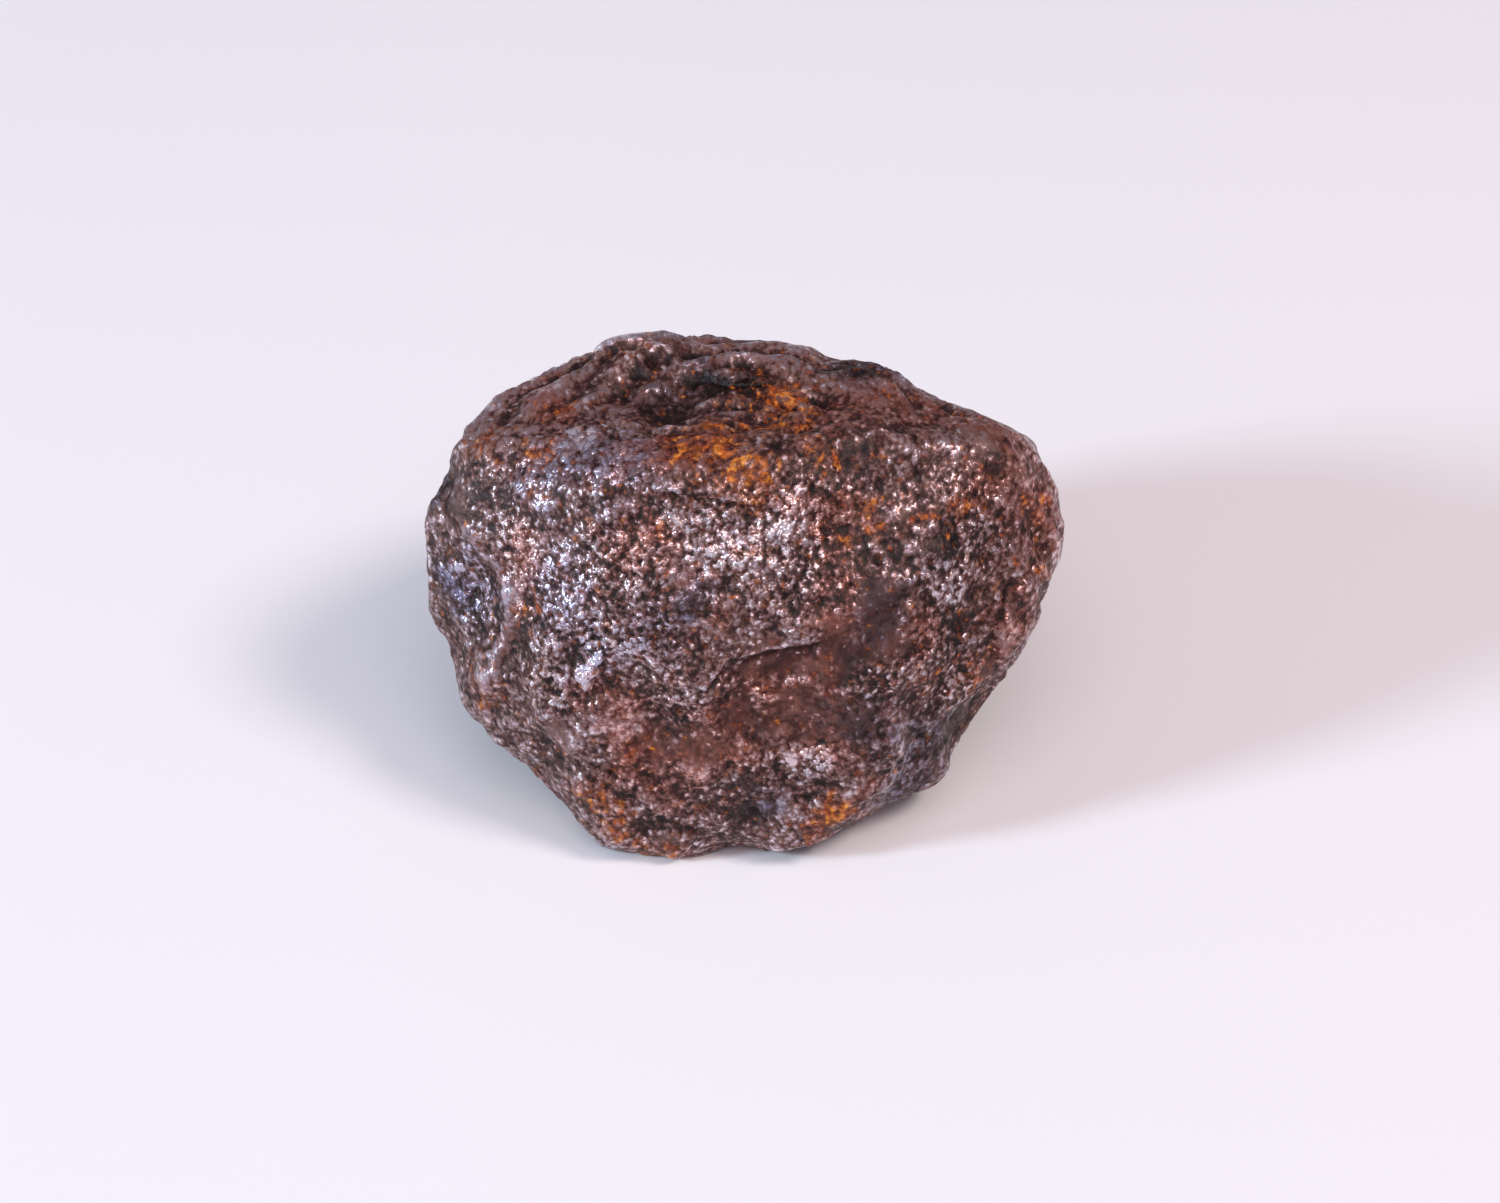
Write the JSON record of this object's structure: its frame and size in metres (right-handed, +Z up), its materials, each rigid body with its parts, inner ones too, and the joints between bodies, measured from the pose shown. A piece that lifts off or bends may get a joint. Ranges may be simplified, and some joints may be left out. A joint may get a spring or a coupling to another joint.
{
  "type": "meteorite",
  "caption": "Small iron meteorite: an irregular stone with worn flats, shallow thumbprints and ledges under a rusty, grainy crust, lying on its worn underside.",
  "frame": {"origin": "on the ground, under the middle of the stone's bounding box", "axes": "+X to the stone's right along its longest extent, -Y out of its broad front face, +Z up along its shortest extent"},
  "size_m": [0.044, 0.033, 0.028],
  "materials": {
    "crust": "satin"
  },
  "bodies": {
    "root": {"meteorite": "crust"}
  },
  "joints": []
}
